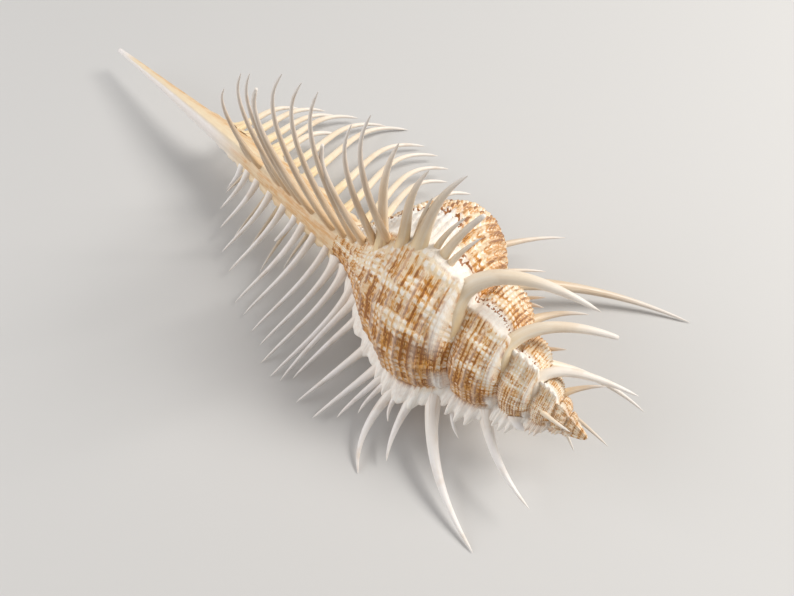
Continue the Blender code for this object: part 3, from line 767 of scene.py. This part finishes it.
def comb_path(comb, station, length):
    """Points of a comb spine in the shell's frame, from the axis outward."""
    plane, lean, lean_rise, curl, curl_rise, swing, swing_rise, root_depth = comb
    share = station / SHELL_LENGTH - 0.3
    angle = math.radians(plane)
    out = np.array((0.0, math.cos(angle), math.sin(angle)))
    aside = np.array((0.0, math.sin(angle), -math.cos(angle)))
    rise = math.sin(math.pi * station / CANAL_JOIN) if station < CANAL_JOIN else 0.0
    point = np.array((station, 0.0, 0.0)) + out * 2.5
    path = [point + out * (root_depth - 2.5) + np.array((0.0, 0.0, rise))]
    for k in range(PATH_STEPS):
        u = (k + 0.5) / PATH_STEPS
        tilt = math.radians(lean + lean_rise * share - (curl + curl_rise * share) * u ** 4.2)
        turn = math.radians(swing + swing_rise * u)
        step = out * math.cos(tilt) * math.cos(turn) + aside * math.sin(turn)
        step = step + np.array((-1.0, 0.0, 0.0)) * math.sin(tilt) * math.cos(turn)
        point = point + step * (length / PATH_STEPS)
        path.append(point + np.array((0.0, 0.0, rise * (1.0 - u) ** 2)))
    return np.array(path)


def outside(path):
    """Part of a path that stands outside the wall, with its foot a little inside."""
    depth = 0.9
    keep = 0
    for k, point in enumerate(path):
        degrees = math.degrees(math.atan2(point[2], point[1]))
        if math.hypot(point[1], point[2]) < wall_at(point[0], degrees) - depth:
            keep = k
    return path[keep:]


def stand_on_varix(path, station):
    """Moves the foot of a spine onto the crest of the middle varix and leaves its tip in place."""
    angle = float(bearing(np.array(-MIDDLE_VARIX), np.array(station)))
    radius = wall_at(station, math.degrees(angle)) - 1.0
    shift = around(np.array(station), np.array(radius), np.array(angle)) - path[0]
    u = np.linspace(0.0, 1.0, len(path))[:, None]
    return path + shift * (1.0 - u) ** 1.2


def bend(path, reach, late):
    """Bows a path along the shell, most near its foot or late near its tip; both ends stay in place."""
    u = np.linspace(0.0, 1.0, len(path)) ** late
    return path + np.stack((reach * 4.0 * u * (1.0 - u), 0.0 * u, 0.0 * u), axis=-1)


def grow_spine(path, foot, tip, blunt=False, groove=0.0, flare=1.5, reach=1.5, taper=0.9, rings=30, sides=14):
    """Grid of points of one spine, around and along it: a flared foot, a slow taper, a closed tip."""
    runs = np.concatenate(((0.0,), np.cumsum(np.linalg.norm(np.diff(path, axis=0), axis=1))))
    length = runs[-1]
    u = np.linspace(0.0, 1.0, rings) ** 1.25
    centre = np.stack([np.interp(u * length, runs, path[:, k]) for k in range(3)], axis=-1)
    for _ in range(2):
        centre[1:-1] = (centre[:-2] + 2.0 * centre[1:-1] + centre[2:]) / 4.0
    ahead = np.gradient(centre, axis=0)
    ahead = ahead / np.linalg.norm(ahead, axis=1)[:, None]
    side = np.array((1.0, 0.0, 0.0))
    rows = []
    for k in range(rings):
        side = side - ahead[k] * side.dot(ahead[k])
        side = side / np.linalg.norm(side)
        cross = np.cross(ahead[k], side)
        s = u[k] * length
        radius = tip + (foot - tip) * (1.0 - u[k]) ** taper
        if not blunt:
            radius = radius * min(1.0, 0.35 + 0.65 * math.sqrt(max(0.0, (length - s) / 1.2)))
        elif k == rings - 1:
            radius = radius * 0.8
        long_way = radius * (1.0 + flare * math.exp(-s / reach))
        short_way = radius * (1.0 + 0.45 * flare * math.exp(-s / (0.8 * reach)))
        a = np.linspace(0.0, 2.0 * np.pi, sides + 1)
        below = (a - 0.5 * np.pi) % (2.0 * np.pi) - np.pi
        notch = 1.0 - groove * np.exp(-(below / 0.45) ** 2)
        ring = centre[k] + side * (np.cos(a) * long_way * notch)[:, None]
        rows.append(ring + cross * (np.sin(a) * short_way * notch)[:, None])
    end = centre[-1] + ahead[-1] * (0.0 if blunt else 0.12)
    rows.append(np.repeat(end[None, :], sides + 1, axis=0))
    along = np.concatenate((u, (1.0,)))
    return np.stack(rows, axis=1), along, length


def build_spines(name, family):
    """Each spine is a grid of its own; they are joined to one piece per comb."""
    made = []
    for path, foot, tip, kind, extra in family:
        points, along, length = grow_spine(path, foot, tip, **extra)
        around_u = np.linspace(0.0, 1.0, points.shape[0])[:, None] + 0.0 * along
        along = along[None, :] + 0.0 * around_u
        tone = np.stack((along, kind + 0.0 * along), axis=-1)
        middle = points.mean(axis=(0, 1))
        made.append(lay_piece(name + "_part", points, around_u, along * length / 10.0, tone, middle))
    bpy.ops.object.select_all(action="DESELECT")
    for one in made:
        one.select_set(True)
    bpy.context.view_layer.objects.active = made[0]
    bpy.ops.object.join()
    piece = bpy.context.object
    piece.name = name
    piece.data.name = name
    return piece


def spine_lime():
    material, add, surface = nodes_of("spine_lime")
    uv, body, tone = places_and_tone(add)
    along, kind = tone[0], tone[1]
    stretch = stretch_node(add, uv, (7.0, 0.7, 1.0))
    streak = noise_node(add, stretch, 2.0, 3.0, 0.6)
    cloud = noise_node(add, body, 300.0, 3.0, 0.55)
    grain = noise_node(add, body, 2600.0, 2.0, 0.6)
    # From beige through cream to white, by the comb that the spine stands in
    cream, white = map_node(add, kind, 0.0, 0.5), map_node(add, kind, 0.5, 1.0)
    low = mix_node(add, cream, (0.74, 0.53, 0.31, 1.0), (0.88, 0.70, 0.42, 1.0))
    low = mix_node(add, white, low, (0.90, 0.83, 0.76, 1.0))
    middle = mix_node(add, cream, (0.60, 0.46, 0.33, 1.0), (0.84, 0.70, 0.53, 1.0))
    middle = mix_node(add, white, middle, (0.90, 0.86, 0.84, 1.0))
    high = (0.88, 0.83, 0.79, 1.0)
    colour = mix_node(add, map_node(add, along, 0.05, 0.5), low, middle)
    colour = mix_node(add, map_node(add, along, 0.55, 0.98, 0.0, 0.85), colour, high)
    colour = mix_node(add, map_node(add, streak, 0.40, 0.72, 0.0, 0.45), colour, (0.90, 0.84, 0.74, 1.0))
    colour = mix_node(add, map_node(add, cloud, 0.50, 0.75, 0.0, 0.35), colour, (0.62, 0.45, 0.30, 1.0))
    # The tan lines of the wall run a little way up the roots of the darker spines
    root = times_node(add, map_node(add, along, 0.24, 0.03), map_node(add, streak, 0.47, 0.60, 0.0, 0.8))
    root = times_node(add, root, map_node(add, kind, 0.75, 0.3, 0.3, 1.0))
    colour = mix_node(add, root, colour, (0.52, 0.27, 0.09, 1.0))
    height = math_node(add, "MULTIPLY_ADD", streak, 1.6, times_node(add, grain, 0.5))
    surface({"Base Color": colour, "Normal": bump_node(add, height, 0.3, 0.00015), "Roughness": 0.38,
             "Specular IOR Level": 0.4})
    return material


spine_material = spine_lime()
combs = {"comb_left": [], "comb_up": [], "comb_right": []}


def add_to_comb(name, spine, path, foot, tip, kind, **shape):
    """Puts a spine into its comb, as a stump if it is broken; grow_spine is given its shape."""
    stump = spine in BROKEN
    combs[name].append((path, foot, SNAPPED if stump else tip, kind, dict(shape, blunt=stump)))


for station, length in SPINES_LEFT:
    path = bend(outside(comb_path(COMB_LEFT, station, length)), 0.065 * length, 0.85)
    add_to_comb("comb_left", (station, length), path, 0.70, SHARP, 1.0, flare=1.1)
for station, length, foot in SPINES_UP:
    path = stand_on_varix(outside(comb_path(COMB_UP, station, length)), foot)
    # The broken spine on the shoulder bows more than its neighbours
    spread = 1.6 if length == 28.4 else min(1.0, abs(station - 84.5) / 10.0)
    path = bend(path, 0.045 * length * spread, 1.1)
    add_to_comb("comb_up", (station, length), path, 0.66, 0.11, 0.0, flare=1.2, reach=2.6)
for station, length in SPINES_RIGHT:
    path = bend(outside(comb_path(COMB_RIGHT, station, length)), -0.062 * length, 2.3)
    # These are thick nearly up to their tips
    add_to_comb("comb_right", (station, length), path, 0.80, 0.15, 0.5, taper=0.55)
for name, family in combs.items():
    finish(build_spines(name, family), spine_material)

# ---------------------------------------------------------------- thorns
# The spines of the body and the spire, one for each main cord where it meets a varix.
# The shoulder spines are the longest and thickest; the small ones stand between them.

# Growth angle and station of the foot, tip on the table from under the canal tip, bow outward,
# bow towards the canal, foot radius
THORNS = (
    (-226, 86.0, (85.1, -21.4, 0.3), 1.5, 0.5, 0.75),
    (-226, 88.5, (86.4, -19.7, 0.8), 1.5, 0.5, 0.70),
    (-226, 93.0, (89.8, -21.8, 0.4), 1.8, 0.5, 0.80),
    (-226, 96.5, (93.5, -21.6, 0.4), 1.8, 0.5, 0.80),
    (-226, 98.0, (96.9, -19.2, 3.0), 1.5, 0.5, 0.70),
    (-226, 99.0, (98.9, -16.7, 4.0), 1.0, 0.5, 0.60),
    (-226, 100.5, (104.6, -22.0, 0.3), 1.6, 1.6, 0.95),
    (-226, 101.2, (103.1, -14.6, 5.0), 0.8, 0.5, 0.60),
    (-226, 103.2, (106.5, -18.1, 2.0), 0.9, 0.5, 0.85),
    (-226, 105.4, (123.4, -17.7, 0.3), 1.6, 1.8, 1.15),
    (-226, 105.2, (108.3, -10.0, 6.0), 0.6, 0.3, 0.60),
    (-586, 107.8, (112.0, -9.3, 6.0), 0.8, 0.4, 0.60),
    (-586, 112.4, (125.1, -9.0, 4.5), 1.0, 1.0, 0.90),
    (-946, 116.4, (118.6, -3.4, 11.5), 0.5, 0.2, 0.90),
    (-108, 89.0, (95.3, -5.3, 47.0), 0.5, 1.6, 0.95),
    (-106, 92.5, (96.5, -2.1, 42.0), 0.5, 1.3, 0.95),
    (-106, 95.2, (98.0, 2.6, 39.0), 0.8, 1.2, 1.20),
    (-104, 93.8, (94.6, 0.9, 34.0), 0.3, 0.4, 0.55),
    (-102, 96.6, (98.4, 2.9, 32.0), 0.2, 0.3, 0.55),
    (-103, 98.0, (100.2, 4.1, 33.0), 0.3, 0.3, 0.75),
    (-104, 99.2, (100.9, 3.3, 30.0), 0.2, 0.2, 0.60),
    (-108, 102.8, (116.5, 8.2, 26.0), 3.1, 2.8, 1.20),
    (-468, 110.9, (119.5, 10.2, 21.0), 1.5, 2.2, 0.95),
    (-828, 116.1, (125.8, 7.8, 17.0), 1.2, 2.6, 0.75),
    (-720, 113.5, (127.5, 10.7, 10.0), 1.8, 0.8, 0.75),
    (-360, 107.0, (113.0, 17.0, 11.0), 1.2, 0.6, 0.90),
    (0, 96.6, (123.6, 35.5, 0.3), 3.2, 2.8, 1.40),
    (0, 91.0, (99.8, 29.9, 6.0), 2.8, 1.2, 1.15),
    (0, 95.0, (102.1, 21.9, 6.0), 1.2, 0.8, 0.75),
    (-1080, 118.4, (122.1, 7.1, 15.0), 0.6, 0.2, 0.55),
    (-1060, 118.0, (127.0, 4.1, 8.0), 0.5, 0.2, 0.45),
    (-1180, 117.6, (124.2, 1.1, 6.0), 0.5, 0.2, 0.45),
    (-1240, 117.2, (122.7, -1.7, 15.8), 0.4, 0.2, 0.45),
    (-372, 103.5, (108.0, 11.4, 16.0), 0.2, 0.2, 0.50),
    (-380, 105.0, (108.6, 10.5, 15.0), 0.2, 0.2, 0.50),
    (-732, 112.0, (115.1, 7.6, 15.0), 0.2, 0.1, 0.45),
    (-246, 51.5, (46.6, -5.2, 1.0), 0.6, 0.4, 0.42),
    (-246, 58.5, (56.9, -10.6, 1.0), 0.8, 0.5, 0.42),
    (-246, 62.0, (61.5, -11.0, 1.0), 0.8, 0.5, 0.42),
    (-246, 66.5, (66.2, -11.4, 1.0), 0.8, 0.5, 0.42),
    (-246, 70.5, (68.4, -7.8, 1.0), 0.8, 0.4, 0.42),
)


def outward(theta, station):
    """Bearing of a place on the wall, and the direction away from the axis there."""
    angle = float(bearing(np.array(float(theta)), np.array(station)))
    return angle, np.array((0.0, math.cos(angle), math.sin(angle)))


def thorn_path(theta, station, tip, bow_out, bow_ahead):
    """Bowed path from a foot on a varix to a tip given as it lies on the table."""
    angle, out = outward(theta, station)
    foot = np.array((station, 0.0, 0.0)) + out * (wall_at(station, math.degrees(angle)) - 1.2)
    x, y, z = tip[0], tip[1], tip[2] + TIP_REST - CANAL_TIP_HEIGHT
    c, s = math.cos(AXIS_PITCH), math.sin(AXIS_PITCH)
    end = np.array((c * x + s * z, y, c * z - s * x))
    middle = (foot + end) / 2.0 + out * bow_out * 2.0 + np.array((-1.0, 0.0, 0.0)) * bow_ahead * 2.0
    u = np.linspace(0.0, 1.0, 25)[:, None]
    return foot * (1.0 - u) ** 2 + middle * 2.0 * u * (1.0 - u) + end * u * u


# Drop of the fold below the apex at lip size
FOLD_DROP = 25.45


def trunk(theta, path):
    """Lets a shoulder spine grow out of the fold on the wall behind it."""
    start = []
    for lag, sink in ((50.0, 3.8), (38.0, 3.0), (27.0, 2.2), (17.0, 1.2), (8.0, 0.2)):
        size = float(growth(theta - lag))
        station = SHELL_LENGTH - FOLD_DROP * size
        angle, _ = outward(theta - lag, station)
        radius = wall_at(station, math.degrees(angle)) - sink * math.sqrt(size)
        start.append(around(np.array(station), np.array(radius), np.array(angle)))
    _, out = outward(theta, path[0, 0])
    u = np.linspace(0.0, 1.0, len(path))[:, None]
    path = path + out * 1.3 * math.sqrt(float(growth(theta))) * (1.0 - u) ** 3
    return np.concatenate((np.array(start), path), axis=0)


def root_back(theta, path, reach):
    """Lets the root of a spine run back along the cord that it grows from."""
    _, out = outward(theta, path[0, 0])
    back = np.array((0.0, -out[2], out[1]))
    u = np.linspace(0.0, 1.0, len(path))[:, None]
    return path + (back * reach - out * 1.3) * (1.0 - u) ** 7


# How white the spines of each varix are, from 0 beige to 1 white, and where they differ from it
KIND_OF_VARIX = {226: 1.0, 108: 0.35, 0: 0.2}
KIND_OF_THORN = {(-108, 102.8): 0.56, (-468, 110.9): 0.56, (-828, 116.1): 0.8, (-720, 113.5): 0.8}
# Radius of the trunk of the shoulder spines of the middle varix, in mm
TRUNKS = {(-108, 102.8): 1.75, (-468, 110.9): 1.25, (-828, 116.1): 0.95}
BROKEN_THORNS = ((-468, 110.9), (-103, 98.0))
family = []
for theta, station, tip, bow_out, bow_ahead, foot in THORNS:
    turn_back = -theta % 360
    nearest = min(KIND_OF_VARIX, key=lambda at: min(abs(turn_back - at), 360 - abs(turn_back - at)))
    kind = 0.25 if theta == -246 else KIND_OF_THORN.get((theta, station), KIND_OF_VARIX[nearest])
    stump = (theta, station) in BROKEN_THORNS
    extra = {"blunt": stump, "groove": 0.3 if nearest == 226 and foot > 0.9 else 0.0}
    extra["flare"] = 0.5 if nearest == 108 else 0.2 if foot > 0.9 else 0.6
    path = thorn_path(theta, station, tip, bow_out, bow_ahead)
    if nearest == 108 and -110 < theta < -100 and station < 100.0:
        path = root_back(theta, path, 1.8 if foot > 0.9 else 1.0)
        extra["reach"] = 2.6
    if (theta, station) in TRUNKS:
        path = trunk(float(theta), path)
        foot = TRUNKS[theta, station]
        extra.update(flare=0.0, taper=0.8, rings=44, sides=18)
    family.append((path, foot, 0.32 if stump else SHARP, kind, extra))
finish(build_spines("thorns", family), spine_material)

# ---------------------------------------------------------------- floor, light and camera
# A plain pale table top, soft light from large panels, and the camera close above the shell.

bpy.ops.object.select_all(action="DESELECT")
bpy.ops.mesh.primitive_plane_add(size=3.0, location=(0.0, 0.0, -0.0002))
floor = bpy.context.object
floor.name = "floor"
floor_material, _, floor_surface = nodes_of("pale_floor")
floor_surface({"Base Color": (0.60, 0.59, 0.58, 1.0), "Roughness": 0.7})
floor.data.materials.append(floor_material)

world = bpy.data.worlds.new("soft_room")
bpy.context.scene.world = world
world.use_nodes = True
sky = {"Color": (1.0, 0.99, 0.98, 1.0), "Strength": 0.38}
feed(world.node_tree, world.node_tree.nodes["Background"], sky)


def panel(name, place, aim, size, watts, colour):
    """A square panel of light that faces a point."""
    light = bpy.data.lights.new(name, "AREA")
    light.shape = "SQUARE"
    light.size = size
    light.energy = watts
    light.color = colour
    holder = bpy.data.objects.new(name, light)
    bpy.context.collection.objects.link(holder)
    holder.location = place
    holder.rotation_euler = (Vector(aim) - Vector(place)).to_track_quat("-Z", "Y").to_euler()


panel("key_panel", (0.26, 0.34, 0.40), (0.0, 0.0, 0.02), 0.22, 3.1, (1.0, 0.98, 0.94))
panel("fill_panel", (-0.36, -0.38, 0.26), (0.0, 0.0, 0.01), 0.50, 1.9, (0.97, 0.98, 1.0))

# Place, direction and right hand of the camera, as found from the photo's perspective
CAMERA_PLACE = (0.0633, -0.0419, 0.0875)
VIEW = (-0.392, 0.366, -0.844)
RIGHT = (0.682, 0.731, 0.0)
forward = Vector(VIEW).normalized()
right = Vector(RIGHT)
right = (right - forward * right.dot(forward)).normalized()
up = right.cross(forward)
camera_data = bpy.data.cameras.new("camera")
camera_data.lens = 27.2
camera_data.sensor_width = 36.0
camera_data.clip_start = 0.005
camera = bpy.data.objects.new("camera", camera_data)
bpy.context.collection.objects.link(camera)
camera.matrix_world = Matrix.Translation(CAMERA_PLACE) @ Matrix((
    (right.x, up.x, -forward.x), (right.y, up.y, -forward.y), (right.z, up.z, -forward.z))).to_4x4()
bpy.context.scene.camera = camera
bpy.context.scene.view_settings.view_transform = "Standard"
